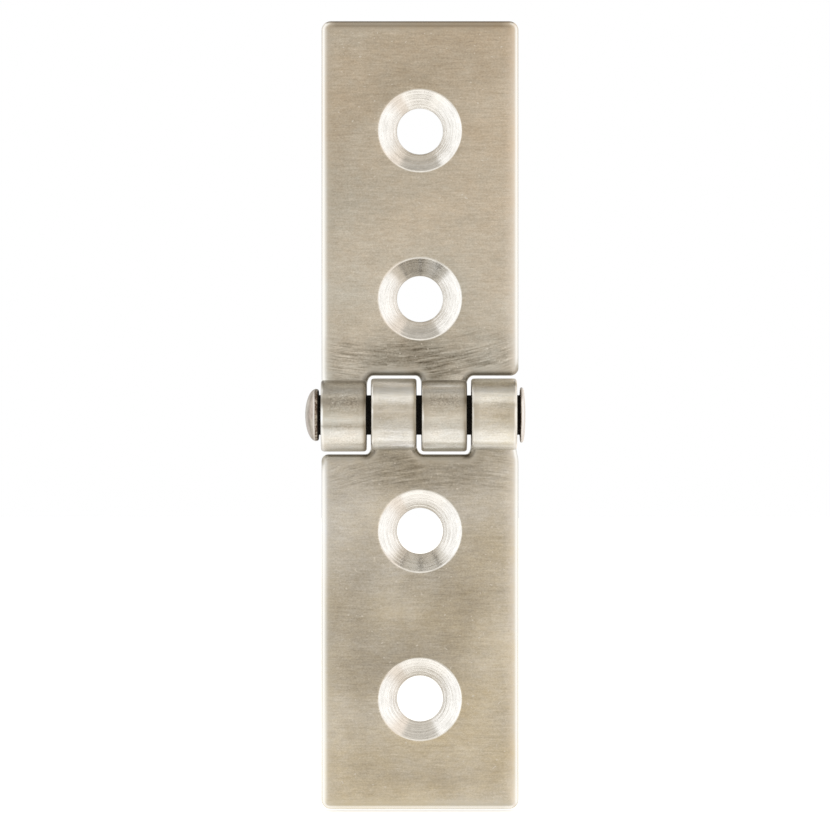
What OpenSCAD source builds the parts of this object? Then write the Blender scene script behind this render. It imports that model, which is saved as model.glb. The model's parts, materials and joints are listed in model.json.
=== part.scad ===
// Rolled-knuckle hinge: two countersunk sheet leaves turning on one riveted pin.
// X runs along the pin, Z runs up the open hinge, and the countersunk faces look towards -Y.
// The origin is on the mounting plane, halfway between the frame leaf's two screw holes.

/* [Leaves] */
// Overall length of the open hinge, across both leaves
hinge_len = 120; // [100:1:240]
// Width of the hinge, along the pin
hinge_w = 30; // [24:0.5:80]
// Thickness of the sheet that the leaves are cut from
sheet_t = 2.5; // [1.5:0.1:4]
// Radius of the corners at a leaf's far end
corner_r = 1.4; // [0.5:0.1:4]
// Radius of the shoulder corner beside the other leaf's end knuckle
shoulder_r = 1.1; // [0.5:0.1:2]
// Radius of the inner corners where a knuckle's foot meets the leaf
slot_r = 1; // [0.3:0.1:1.5]
// Rounding of the tumbled edges
edge_r = 0.4; // [0.1:0.05:0.6]

/* [Screw holes] */
// Diameter of the screw holes
hole_d = 7; // [3:0.1:9]
// Diameter of the countersinks where they meet the leaf's face
sink_d = 12.6; // [9:0.1:14]
// Straight land left at the bottom of a countersink
sink_land = 0.15; // [0.1:0.05:1]
// Distance from the pin's axis to the nearer screw hole
hole_near = 17.7; // [16:0.1:19]
// Distance from a leaf's far end to the other screw hole
hole_end = 16.7; // [8:0.1:17]

/* [Knuckles] */
// Side clearance between neighbouring knuckles
knuckle_gap = 0.8; // [0.2:0.05:1.5]
// Clearance between a knuckle and the slot edge of the other leaf
slot_gap = 0.44; // [0.2:0.02:1]
// Clearance between the end of a roll and the face of its own leaf
curl_gap = 0.28; // [0.1:0.02:1]

/* [Pin] */
// Diameter of the pin's shank
pin_d = 6; // [3:0.1:8]
// Radial clearance of the shank in the knuckles
pin_play = 0.06; // [0.02:0.01:0.1]
// How far the formed head stands out past the shank all round
head_lip = 0.95; // [0.5:0.05:2]
// Height of the formed head
head_h = 2.1; // [1.5:0.1:4]
// Height of the formed head's domed part
head_dome_h = 1.3; // [0.5:0.1:1.4]
// Clearance between the formed head and the first knuckle
head_gap = 0.3; // [0.1:0.05:1]
// How far the hammered head stands out past the shank all round
tail_lip = 1.35; // [0.5:0.05:2]
// Height of the hammered head
tail_h = 0.85; // [0.6:0.05:2]
// Height of the hammered head's domed part
tail_dome_h = 0.35; // [0.1:0.05:0.45]
// Clearance between the hammered head and the last knuckle
tail_gap = 0.1; // [0.1:0.02:1]

/* [Hidden] */

// Fineness of the curves
$fn = 96;
// How far a cutter runs past the face that it opens
cut = 1;
// How far a corner piece runs into the sheet beside it
lap = 0.2;

// Knuckles along the pin, counted from the formed head
knuckle_count = 4;
// Every second knuckle belongs to one leaf
own_knuckles = [0, 2];
knuckle_w = (hinge_w - (knuckle_count - 1) * knuckle_gap) / knuckle_count;

// Radii of the roll, measured from the pin's axis
bore_r = pin_d / 2 + pin_play;
barrel_r = bore_r + sheet_t;
// The roll runs on past the front until its end is curl_gap short of the leaf's face
roll_deg = 270 + asin((bore_r - curl_gap) / barrel_r);

// Heights above the pin's axis
leaf_end_z = hinge_len / 2;
slot_z = barrel_r + slot_gap;
foot_z = slot_z - slot_r;
hole_zs = [hole_near, leaf_end_z - hole_end];
// The origin's height, midway between the frame leaf's screw holes
origin_z = (hole_zs[0] + hole_zs[1]) / 2;

// The countersink widens by this much of radius for each unit of depth
sink_depth = sheet_t - sink_land;
sink_slope = (sink_d - hole_d) / 2 / sink_depth;

shank_len = hinge_w + head_gap + tail_gap;
head_d = pin_d + 2 * head_lip;
tail_d = pin_d + 2 * tail_lip;

steel_colour = [0.73, 0.71, 0.65];
pin_colour = [0.66, 0.61, 0.56];

function knuckle_x(i) = -hinge_w / 2 + knuckle_w / 2 + i * (knuckle_w + knuckle_gap);

// A rectangle on its own middle with round corners
module round_rect(w, h, r) {
    square([w - 2 * r, h], center = true);
    square([w, h - 2 * r], center = true);
    for (sx = [-1, 1])
        for (sy = [-1, 1])
            translate([sx * (w / 2 - r), sy * (h / 2 - r)])
                circle(r);
}

// What lies between a square corner at the origin and the arc that rounds it
module spandrel(r, way_x, way_y) {
    mirror([way_x < 0 ? 1 : 0, 0])
        mirror([0, way_y < 0 ? 1 : 0])
            difference() {
                translate([-lap, -lap])
                    square(r + lap);
                translate([r, r])
                    circle(r);
            }
}

// The leaf's flat outline seen from the front, from the knuckles' feet to its far end
module leaf_outline() {
    difference() {
        translate([-hinge_w / 2, slot_z])
            square([hinge_w, leaf_end_z - slot_z]);
        for (side = [-1, 1])
            translate([side * hinge_w / 2, leaf_end_z])
                spandrel(corner_r, -side, -1);
        translate([hinge_w / 2, slot_z])
            spandrel(shoulder_r, -1, 1);
    }
    for (i = own_knuckles) {
        translate([knuckle_x(i) - knuckle_w / 2, foot_z])
            square([knuckle_w, slot_r + lap]);
        for (side = i == 0 ? [1] : [-1, 1])
            translate([knuckle_x(i) + side * knuckle_w / 2, slot_z])
                spandrel(slot_r, side, -1);
    }
}

// The flat of the leaf, with its long edges and its far end rounded on both faces
module leaf_plate() {
    intersection() {
        rotate([90, 0, 0])
            linear_extrude(sheet_t)
                leaf_outline();
        translate([0, -sheet_t / 2, foot_z])
            linear_extrude(leaf_end_z - foot_z)
                round_rect(hinge_w, sheet_t, edge_r);
        translate([-hinge_w / 2, -sheet_t / 2, 0])
            rotate([90, 0, 90])
                linear_extrude(hinge_w)
                    round_rect(sheet_t, 2 * leaf_end_z, edge_r);
    }
}

// One screw hole with its countersink in the front face
module screw_hole(z) {
    translate([0, 0, z])
        rotate([90, 0, 0]) {
            translate([0, 0, -cut])
                cylinder(h = sheet_t + 2 * cut, d = hole_d);
            translate([0, 0, sink_land])
                cylinder(h = sink_depth + cut, d1 = hole_d, d2 = sink_d + 2 * cut * sink_slope);
        }
}

// One knuckle: a straight foot at the back, then the sheet rolled round the pin
module knuckle(i) {
    translate([knuckle_x(i), -sheet_t / 2, 0])
        linear_extrude(foot_z)
            round_rect(knuckle_w, sheet_t, edge_r);
    translate([knuckle_x(i), -barrel_r, 0])
        rotate([-90, 0, 0])
            rotate([0, -90, 0])
                rotate_extrude(angle = roll_deg)
                    translate([bore_r + sheet_t / 2, 0])
                        round_rect(sheet_t, knuckle_w, edge_r);
}

// A whole leaf, standing up from the pin
module leaf() {
    difference() {
        union() {
            leaf_plate();
            for (i = own_knuckles)
                knuckle(i);
        }
        for (z = hole_zs)
            screw_hole(z);
    }
}

// Half the section of a low domed head, its flat side at 0 and its dome up
module head_section(d, h, dome_h) {
    dome_r = (d * d / 4 + dome_h * dome_h) / (2 * dome_h);
    rim_r = min(edge_r, (h - dome_h) / 2);
    intersection() {
        square([d / 2, h]);
        translate([0, h - dome_r])
            circle(dome_r);
        translate([0, h])
            round_rect(d, 2 * h, rim_r);
    }
}

module frame_leaf() {
    color(steel_colour)
        translate([0, 0, -origin_z])
            leaf();
}

// The door leaf is the same piece turned end for end
module door_leaf() {
    color(steel_colour)
        translate([0, 0, -origin_z])
            rotate([0, 180, 0])
                leaf();
}

module hinge_pin() {
    color(pin_colour)
        translate([-hinge_w / 2 - head_gap, -barrel_r, -origin_z])
            rotate([0, 90, 0])
                rotate_extrude() {
                    square([pin_d / 2, shank_len]);
                    mirror([0, 1])
                        head_section(head_d, head_h, head_dome_h);
                    translate([0, shank_len])
                        head_section(tail_d, tail_h, tail_dome_h);
                }
}

frame_leaf();
door_leaf();
hinge_pin();
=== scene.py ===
"""Looks of an open door hinge: two rolled sheet leaves turning on one riveted pin.

Shapes are worked out in millimetres about the pin's axis, as a sheet-metal drawing is: u runs
along the pin, v runs up the flat leaf and on round its rolls, and d is the depth from the back
face. They are written in metres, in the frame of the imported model.
"""

import sys

import json
import logging
import math
from dataclasses import dataclass
from enum import Enum
from typing import Any, Callable, Optional, Sequence, Union

import bmesh
import bpy
import numpy as np
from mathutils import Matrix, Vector
from mathutils.geometry import delaunay_2d_cdt


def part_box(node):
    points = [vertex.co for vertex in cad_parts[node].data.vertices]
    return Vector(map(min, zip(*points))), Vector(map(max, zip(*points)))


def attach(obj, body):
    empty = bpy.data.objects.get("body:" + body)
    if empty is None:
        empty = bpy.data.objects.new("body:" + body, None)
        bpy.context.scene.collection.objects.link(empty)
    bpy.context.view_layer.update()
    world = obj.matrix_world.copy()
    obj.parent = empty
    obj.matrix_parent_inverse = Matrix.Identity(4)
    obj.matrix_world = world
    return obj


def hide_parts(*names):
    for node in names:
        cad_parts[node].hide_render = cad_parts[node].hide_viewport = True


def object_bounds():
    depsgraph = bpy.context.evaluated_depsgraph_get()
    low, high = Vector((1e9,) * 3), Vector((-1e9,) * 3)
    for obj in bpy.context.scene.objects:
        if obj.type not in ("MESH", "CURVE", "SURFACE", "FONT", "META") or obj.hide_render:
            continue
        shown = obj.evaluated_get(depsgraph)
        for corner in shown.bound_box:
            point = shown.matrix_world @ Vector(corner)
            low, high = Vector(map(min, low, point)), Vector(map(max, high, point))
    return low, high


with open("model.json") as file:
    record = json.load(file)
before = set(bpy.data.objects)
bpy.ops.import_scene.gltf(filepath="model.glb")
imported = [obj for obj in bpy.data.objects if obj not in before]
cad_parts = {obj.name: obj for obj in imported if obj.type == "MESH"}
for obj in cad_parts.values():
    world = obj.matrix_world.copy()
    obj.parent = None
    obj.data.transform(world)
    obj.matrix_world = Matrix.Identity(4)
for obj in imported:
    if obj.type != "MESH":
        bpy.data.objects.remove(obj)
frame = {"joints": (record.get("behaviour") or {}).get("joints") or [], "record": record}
cad_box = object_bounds()

MM = 0.001
# What the edge mark says of steel that is away from every edge
OFF_EDGE = 2.5
Colour = tuple[float, float, float]
Scale = tuple[float, float, float]
Marks = dict[str, np.ndarray]
# Points in the drawing, and their numbers in the mesh
Loop = tuple[np.ndarray, np.ndarray]
log = logging.getLogger("hinge")


def named(rows: Sequence[dict[str, Any]], name: str) -> dict[str, Any]:
    """The one of the frame's rows that has this name."""
    return next(row for row in rows if row["name"] == name)


def add_object(name: str, data: Union[bpy.types.Mesh, bpy.types.Camera]) -> bpy.types.Object:
    """Adds an object to the scene.

    Args:
        name: its name.
        data: its mesh or camera.

    Returns:
        The object.
    """
    made = bpy.data.objects.new(name, data)
    bpy.context.scene.collection.objects.link(made)
    return made


class Mark(Enum):
    """What each point of a mesh remembers, for its finish to read."""

    EDGE = "edge"
    # tone carries painted light and shade: bands round the rolls, shade on the leaves' edges, and the
    # pin's painted highlight and shade
    TONE = "tone"
    ROLLED = "rolled"
    REACH = "reach"
    # soil and painted shadow: dirt and spots on the pin, and near black painted shadow where it is
    # highest
    SOIL_AND_SHADOW = "soil"


# ---------------------------------------------------------------- shader maths


class Wire:
    """One output of a node tree. Arithmetic on it adds Math nodes."""

    def __init__(self, graph: "Graph", socket: bpy.types.NodeSocket) -> None:
        """Keeps the socket and the graph that it belongs to."""
        self.graph = graph
        self.socket = socket

    def __add__(self, other: "Feed") -> "Wire":
        """self + other."""
        return self.graph.math("ADD", self, other)

    def __radd__(self, other: "Feed") -> "Wire":
        """other + self."""
        return self.graph.math("ADD", other, self)

    def __sub__(self, other: "Feed") -> "Wire":
        """self - other."""
        return self.graph.math("SUBTRACT", self, other)

    def __rsub__(self, other: "Feed") -> "Wire":
        """other - self."""
        return self.graph.math("SUBTRACT", other, self)

    def __mul__(self, other: "Feed") -> "Wire":
        """self * other."""
        return self.graph.math("MULTIPLY", self, other)

    def __rmul__(self, other: "Feed") -> "Wire":
        """other * self."""
        return self.graph.math("MULTIPLY", other, self)

    def __abs__(self) -> "Wire":
        """abs(self)."""
        return self.graph.math("ABSOLUTE", self)

    def __pow__(self, other: "Feed") -> "Wire":
        """self ** other."""
        return self.graph.math("POWER", self, other)


Feed = Union[Wire, float, tuple]


class Graph:
    """A node tree, and the one way in which this script adds nodes to it."""

    def __init__(self, tree: bpy.types.NodeTree) -> None:
        """Empties the tree and keeps it."""
        tree.nodes.clear()
        self.tree = tree

    def node(
        self,
        kind: str,
        settings: Optional[dict[str, Any]] = None,
        inputs: Optional[dict[Union[str, int], Feed]] = None,
        output: Union[str, int] = 0,
    ) -> Wire:
        """Adds one node.

        Args:
            kind: the node's type.
            settings: its own properties, set before its sockets.
            inputs: a value or a wire for each socket, by name or number.
            output: the output that the caller wants.

        Returns:
            That output.
        """
        made = self.tree.nodes.new(kind)
        for name, value in (settings or {}).items():
            if name == "stops":
                _set_stops(made.color_ramp, value)
            else:
                setattr(made, name, value)
        for name, value in (inputs or {}).items():
            if isinstance(value, Wire):
                self.tree.links.new(value.socket, made.inputs[name])
            else:
                made.inputs[name].default_value = value
        return Wire(self, made.outputs[output] if made.outputs else made.inputs[0])

    def math(self, operation: str, *values: Feed) -> Wire:
        """One Math node on these values."""
        return self.node("ShaderNodeMath", {"operation": operation}, dict(enumerate(values)))

    def vector(self, operation: str, first: Feed, second: Feed) -> Wire:
        """One Vector Math node on two vectors."""
        inputs = {0: first, 1: second}
        return self.node("ShaderNodeVectorMath", {"operation": operation}, inputs)

    def join(self, x: Feed, y: Feed, z: Feed = 0.0) -> Wire:
        """A vector from three values."""
        return self.node("ShaderNodeCombineXYZ", {}, {0: x, 1: y, 2: z})

    def split(self, vector: Wire) -> tuple[Wire, Wire, Wire]:
        """Takes a vector apart.

        Args:
            vector: the vector.

        Returns:
            Its three values.
        """
        first = self.node("ShaderNodeSeparateXYZ", {}, {0: vector})
        outputs = first.socket.node.outputs
        return first, Wire(self, outputs[1]), Wire(self, outputs[2])

    def mix(self, share: Feed, first: Feed, second: Feed) -> Wire:
        """Mixes two colours.

        Args:
            share: how much of the second colour, from 0 to 1.
            first: the colour at 0.
            second: the colour at 1.

        Returns:
            The mixed colour.
        """
        settings = {"data_type": "RGBA", "blend_type": "MIX", "clamp_factor": True}
        inputs = {0: share, 6: _solid(first), 7: _solid(second)}
        return self.node("ShaderNodeMix", settings, inputs, 2)

    def step(self, value: Feed, low: float, high: float) -> Wire:
        """Rises smoothly from 0 to 1 as a value goes from low to high.

        Args:
            value: the value.
            low: where it starts to rise.
            high: where it has risen.

        Returns:
            The share from 0 to 1.
        """
        settings = {"interpolation_type": "SMOOTHSTEP"}
        inputs = {0: value, 1: low, 2: high, 3: 0.0, 4: 1.0}
        return self.node("ShaderNodeMapRange", settings, inputs)

    def bell(self, value: Wire, middle: float, reach: float) -> Wire:
        """1 where a value is middle, and smoothly 0 from reach away."""
        return 1.0 - self.step(abs(value - middle), 0.0, reach)

    def noise(
        self, place: Wire, scale: Optional[Scale] = None, detail: float = 2.0, rough: float = 0.5
    ) -> Wire:
        """Noise from 0 to 1.

        Args:
            place: where it is read.
            scale: how many of its grains there are in one unit along each axis, if not one.
            detail: how many finer layers it has.
            rough: how strong the finer layers are.

        Returns:
            The noise.
        """
        if scale is not None:
            place = self.vector("MULTIPLY", place, scale)
        inputs = {"Vector": place, "Scale": 1.0, "Detail": detail, "Roughness": rough}
        return self.node("ShaderNodeTexNoise", {"noise_dimensions": "3D"}, inputs)

    def mark(self, mark: Mark) -> Wire:
        """What the mesh remembers under this mark."""
        return self.node("ShaderNodeAttribute", {"attribute_name": mark.value}, {}, "Fac")

    def millimetres(self) -> Wire:
        """The place on the object in millimetres."""
        place = self.node("ShaderNodeTexCoord", {}, {}, "Object")
        return self.vector("MULTIPLY", place, (1 / MM, 1 / MM, 1 / MM))

    def bump(self, height: Wire, depth_mm: float, under: Optional[Wire] = None) -> Wire:
        """Bends the surface's normal by a height from 0 to 1.

        Args:
            height: the height.
            depth_mm: how deep the relief is.
            under: a normal that is bent already.

        Returns:
            The new normal.
        """
        inputs = {"Strength": 1.0, "Distance": depth_mm * MM, "Height": height}
        if under is not None:
            inputs["Normal"] = under
        return self.node("ShaderNodeBump", {}, inputs)


def _set_stops(ramp: bpy.types.ColorRamp, stops: Sequence[tuple[float, Colour]]) -> None:
    """Gives a colour ramp its stops.

    Args:
        ramp: the ramp.
        stops: a place from 0 to 1 and a colour for each.
    """
    while len(ramp.elements) < len(stops):
        ramp.elements.new(1.0)
    for element, (place, colour) in zip(ramp.elements, stops):
        element.position = place
        element.color = (*colour, 1.0)


def _solid(value: Feed) -> Feed:
    """A colour of three numbers as four, and anything else as it is."""
    return (*value, 1.0) if isinstance(value, tuple) else value


# -------------------------------------------------------------------- finishes


@dataclass(frozen=True)
class Surface:
    """What a finish gives to its shader: what varies over the surface, and its gloss."""

    colour: Wire
    roughness: Feed
    metallic: Feed = 0.0
    normal: Optional[Wire] = None
    glow: float = 0.0

    def close(self, graph: Graph) -> None:
        """Adds the shader and the output.

        Args:
            graph: where the nodes go.
        """
        inputs = {
            "Base Color": self.colour,
            "Roughness": self.roughness,
            "Metallic": self.metallic,
            "Emission Color": (1.0, 1.0, 1.0, 1.0),
            "Emission Strength": self.glow,
        }
        if self.normal is not None:
            inputs["Normal"] = self.normal
        shader = graph.node("ShaderNodeBsdfPrincipled", {}, inputs)
        graph.node("ShaderNodeOutputMaterial", {}, {"Surface": shader})


@dataclass(frozen=True)
class Finish:
    """What every finish has: a name, a way to fill a graph, and the material that holds it."""

    name: str

    def surface(self, graph: Graph) -> Surface:
        """Fills the graph, which each finish does in its own way.

        Args:
            graph: where the nodes go.

        Returns:
            The finish's surface.
        """
        raise NotImplementedError

    def material(self) -> bpy.types.Material:
        """Makes a material with this finish.

        Returns:
            The material.
        """
        material = bpy.data.materials.new(self.name)
        material.use_nodes = True
        graph = Graph(material.node_tree)
        self.surface(graph).close(graph)
        return material


@dataclass(frozen=True)
class BrushedSteel(Finish):
    """The leaves' sheet: brushed along the pin, tumbled, and swirled beside the rolls.

    Tones are shares of the steel's own brightness, and lengths are in mm. Some are painted light and
    shade: bands on the rolls, shade on the edges, side walls and flat, and highlights on the rims.
    """

    axis_z_mm: float
    steel: Colour = (0.700, 0.682, 0.640)
    # pale steel for the rims, which carry real polish from tumbling and a painted highlight, and for
    # bright specks
    worn: Colour = (0.86, 0.85, 0.83)
    fine_lines: float = 0.38
    long_lines: float = 0.14
    roll_lines: float = 0.45
    line_depth_mm: float = 0.006
    swirl: float = 1.0
    swirl_side: float = 1.0
    swirl_radius_mm: float = 53.0
    swirl_middle_mm: float = -5.0
    swirl_foot_mm: float = 8.0
    swirl_rag_mm: float = 6.0
    swirl_lines: float = 1.9
    swirl_shade: float = 0.17
    swirl_middle_shade: float = 0.34
    swirl_depth_mm: float = 0.012
    cloud: float = 0.5
    patches: float = 0.16
    grains: float = 0.50
    pits: float = 2.6
    specks: float = 0.7
    edge_share: float = 0.15
    darkest: float = 0.12
    side_wall_painted_shade: float = 0.36
    rim_polish_and_highlight: float = 0.85
    # painted shade and light on the flat leaf: darker far end and middle, paler margin
    far_tone: float = -0.12
    middle_tone: float = -0.04
    margin_tone: float = 0.0
    far_tan: float = 1.6
    painted_shade_brown: float = 2.0
    tan_green: float = 0.030
    tan_blue: float = 0.062

    def brushing(self, graph: Graph, place: Wire, rolled: Wire) -> Wire:
        """The brush lines along the pin, which are bolder on the rolls.

        Args:
            graph: where the nodes go.
            place: the place in millimetres.
            rolled: 1 on the rolls and 0 on the flat.

        Returns:
            The lines, about 0.
        """
        fine = graph.noise(place, (0.45, 3.9, 3.9), 2.0, 0.6) - 0.5
        long = graph.noise(place, (0.06, 1.6, 1.6), 3.0, 0.6) - 0.5
        bold = graph.noise(place, (0.16, 1.1, 1.1), 3.0, 0.6) - 0.5
        return fine * self.fine_lines + long * self.long_lines + bold * rolled * self.roll_lines

    def swirls(self, graph: Graph, place: Wire) -> tuple[Wire, Wire, Wire]:
        """The curved polishing lines on the flat beside the rolls.

        Args:
            graph: where the nodes go.
            place: the place in millimetres.

        Returns:
            The lines from 0 to 1, the mask of where they are, and how much darker the steel is there.
        """
        x, _, z = graph.split(place)
        rise = (z - self.axis_z_mm) * self.swirl_side
        across = x * self.swirl_side - self.swirl_middle_mm
        up = rise - (self.swirl_foot_mm + self.swirl_radius_mm)
        radius = (across * across + up * up) ** 0.5
        turn = graph.math("ARCTAN2", across, up) * self.swirl_radius_mm
        lines = graph.noise(graph.join(turn, radius), (0.22, 2.7, 1.0), 4.0, 0.7)
        ragged = graph.noise(place, (0.09, 0.3, 0.3)) - 0.5
        height = rise + ragged * self.swirl_rag_mm
        mask = graph.step(height, 4.6, 6.0) * (1.0 - graph.step(height, 9.5, 14.0)) * self.swirl
        middle = graph.bell(x, -1.0, 16.0) * self.swirl_middle_shade
        return lines, mask, mask * (middle + self.swirl_shade)

    def surface(self, graph: Graph) -> Surface:
        """Fills the graph of the sheet's finish.

        Args:
            graph: where the nodes go.

        Returns:
            The finish's surface.
        """
        place = graph.millimetres()
        rolled = graph.mark(Mark.ROLLED)
        toned = graph.mark(Mark.TONE)
        edge = graph.mark(Mark.EDGE)
        calm = graph.step(edge, 0.50, 2.10)
        # painted shade on the sheet's side walls, so that they don't burn out in the side light
        side_wall = 1.0 - graph.step(edge, 0.0, 0.02)
        brushed = self.brushing(graph, place, rolled)
        lines, swirled, swirl_darkening = self.swirls(graph, place)
        arcs = (lines - 0.5) * self.swirl_lines * swirled - swirl_darkening
        cloud = graph.noise(place, (0.055, 0.07, 0.07), 3.0, 0.55) - 0.5
        patch = graph.noise(place, (0.30, 0.40, 0.40), 3.0, 0.6) - 0.5
        grain = graph.noise(place, (3.4, 4.3, 4.3), 2.0, 0.6) - 0.5
        speck = graph.step(graph.noise(place, (2.1, 2.6, 2.6), 0.0), 0.825, 0.855)
        pitted = grain * rolled * (1.0 - toned) * self.pits
        tone = brushed + arcs + cloud * self.cloud + patch * self.patches + grain * self.grains
        tone = (tone + pitted) * (calm * (1.0 - self.edge_share) + self.edge_share)
        tone = 1.0 + tone + self.shading(graph, place)
        tone = graph.math("MAXIMUM", tone, self.darkest) * toned * (1.0 - side_wall * self.side_wall_painted_shade)
        # painted shade from the tone mark is browner as well as darker
        colour = self.tinted(graph, tone, self.warmth(graph, place) + (1.0 - toned) * self.painted_shade_brown)
        # rims: real polish from tumbling, partly a painted highlight where the round catches the side
        # light
        polish_and_rim_highlight = graph.bell(edge, 0.32, 0.32) * graph.step(toned, 0.75, 1.0) * self.rim_polish_and_highlight
        colour = graph.mix(polish_and_rim_highlight + speck * calm * self.specks, colour, self.worn)
        rough = 0.26 + brushed * 0.12 + cloud * 0.12 + swirled * 0.08 - rolled * 0.02
        relief = graph.bump((brushed + grain * 0.4) * calm, self.line_depth_mm)
        relief = graph.bump(lines * swirled * calm, self.swirl_depth_mm, relief)
        return Surface(colour, rough, 1.0, relief)

    def tinted(self, graph: Graph, tone: Wire, warm: Wire) -> Wire:
        """The steel's colour: dark steel is browner, painted shade included, and so is tanned steel.

        Args:
            graph: where the nodes go.
            tone: how bright the steel is.
            warm: how tanned it is, with the browning of its painted shade.

        Returns:
            The colour.
        """
        green = tone**1.06 * (1.0 - warm * self.tan_green)
        blue = tone**1.17 * (1.0 - warm * self.tan_blue)
        return graph.vector("MULTIPLY", self.steel, graph.join(tone, green, blue))

    def shading(self, graph: Graph, place: Wire) -> Wire:
        """Where the steel is painted darker or paler, as painted shade and light on the flat: its
        middle, its far end and its margin.

        Args:
            graph: where the nodes go.
            place: the place in millimetres.

        Returns:
            What the shading adds to the tone.
        """
        x, _, z = graph.split(place)
        height = abs(z - self.axis_z_mm)
        far = graph.step(height - x * 0.4, 32.0, 58.0)
        middle = graph.bell(height, 33.0, 20.0) * (1.0 - graph.step(x, 4.0, 16.0))
        side = graph.step(x * -1.0, 8.0, 13.5) * graph.step(height, 8.0, 26.0)
        margin = graph.math("MAXIMUM", side, graph.step(height, 54.0, 58.5))
        return far * self.far_tone + middle * self.middle_tone + margin * self.margin_tone

    def warmth(self, graph: Graph, place: Wire) -> Wire:
        """How tanned the steel is: more towards the leaf's far end, and in soft patches.

        Args:
            graph: where the nodes go.
            place: the place in millimetres.

        Returns:
            The tan, about 0 to 1.
        """
        x, _, z = graph.split(place)
        far = graph.step(abs(z - self.axis_z_mm), 12.0, 50.0)
        soft = graph.noise(place, (0.06, 0.09, 0.09), 3.0, 0.6) - 0.5
        fine = graph.noise(place, (0.9, 1.7, 1.7), 2.0, 0.6) - 0.5
        return far * self.far_tan + soft * 6.5 + fine * 2.4 + x * 0.03


@dataclass(frozen=True)
class TurnedSink(Finish):
    """The countersinks' cut cones: bright, with the cutter's rings."""

    name: str = "turned_sink"
    steel: Colour = (0.89, 0.88, 0.865)
    groove: Colour = (0.66, 0.645, 0.62)
    rings_per_mm: float = 6.4
    ring_depth_mm: float = 0.013

    def surface(self, graph: Graph) -> Surface:
        """Fills the graph of the cut cones.

        Args:
            graph: where the nodes go.

        Returns:
            The finish's surface.
        """
        place = graph.millimetres()
        reach = graph.mark(Mark.REACH)
        around = graph.vector("MULTIPLY", place, (0.34, 0.34, 0.34))
        outward = graph.join(reach * self.rings_per_mm, 0.0)
        rings = graph.noise(graph.vector("ADD", around, outward), None, 4.0, 0.7)
        patch = graph.noise(place, (0.55, 0.55, 0.55), 3.0, 0.65) - 0.5
        grain = graph.noise(place, (3.0, 3.0, 3.0)) - 0.5
        worn = 1.0 - graph.step(reach, 3.52, 3.78)
        tone = 0.68 + (rings - 0.5) * 3.0 + patch * 1.6 + grain * 0.8 - worn * 0.5
        colour = graph.mix(tone, self.groove, self.steel)
        rough = 0.17 + (rings - 0.5) * 0.20 + patch * 0.16
        return Surface(colour, rough, 1.0, graph.bump(rings, self.ring_depth_mm))


@dataclass(frozen=True)
class PinSteel(Finish):
    """The pin: warm polished heads, a shank and head undersides painted near black as shadow, and brown
    spots beside the rolls.
    """

    name: str = "pin_steel"
    steel: Colour = (0.62, 0.57, 0.51)
    shade: Colour = (0.34, 0.31, 0.26)
    pale: Colour = (0.88, 0.85, 0.84)
    tarnish: Colour = (1.03, 0.94, 0.98)
    painted_shadow_black: Colour = (0.010, 0.008, 0.007)
    rust: Colour = (0.10, 0.055, 0.03)
    scratch_depth_mm: float = 0.010
    spot_depth_mm: float = 0.02

    def surface(self, graph: Graph) -> Surface:
        """Fills the graph of the pin's finish.

        Args:
            graph: where the nodes go.

        Returns:
            The finish's surface.
        """
        place = graph.millimetres()
        soil = graph.mark(Mark.SOIL_AND_SHADOW)
        toned = graph.mark(Mark.TONE)
        smudge = graph.noise(place, (0.9, 0.42, 0.42), 3.0, 0.6)
        fine = graph.noise(place, (2.4, 2.4, 2.4), 3.0, 0.6)
        spots = graph.noise(place, (1.7, 1.7, 1.7), 4.0, 0.7)
        hue = graph.noise(place, (0.6, 0.5, 0.5), 1.0)
        # painted shadow: the shank between the knuckles and the heads' undersides are painted near
        # black
        shadowed = graph.step(soil, 0.75, 0.90)
        spotted = graph.step(spots + soil * 0.25, 0.58, 0.68) * graph.step(soil, 0.2, 0.5)
        colour = graph.mix(smudge * 2.6 - 0.8 - soil * 0.5, self.shade, self.steel)
        colour = graph.mix(hue * 2.2 - 0.8, colour, graph.vector("MULTIPLY", colour, self.tarnish))
        # tone above 1 pales the steel, as the ridge's painted highlight and the pale hammered head;
        # tone below 1 is painted shade at the ends' tips
        colour = graph.mix((toned - 1.0) * 1.2, colour, self.pale)
        colour = graph.mix((1.0 - toned) * 1.3, colour, self.shade)
        colour = graph.mix(spotted, colour, self.rust)
        colour = graph.mix(shadowed, colour, self.painted_shadow_black)
        rough = 0.24 + (smudge - 0.5) * 0.24 + spotted * 0.3 + shadowed * 0.3
        metallic = 1.0 - spotted * 0.7 - shadowed * 0.5
        relief = graph.bump(fine, self.scratch_depth_mm)
        return Surface(colour, rough, metallic, graph.bump(spots, self.spot_depth_mm, relief))


@dataclass(frozen=True)
class PaleFloor(Finish):
    """The floor: plain, pale and matt, with a little light of its own."""

    name: str = "pale_floor"
    darker: Colour = (0.93, 0.93, 0.925)
    lighter: Colour = (0.96, 0.96, 0.955)

    def surface(self, graph: Graph) -> Surface:
        """Fills the graph of the floor's finish.

        Args:
            graph: where the nodes go.

        Returns:
            The finish's surface.
        """
        cloud = graph.noise(graph.millimetres(), (0.02, 0.02, 0.02))
        return Surface(graph.mix(cloud, self.darker, self.lighter), 0.9, glow=0.45)


# ---------------------------------------------------------------------- meshes


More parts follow.
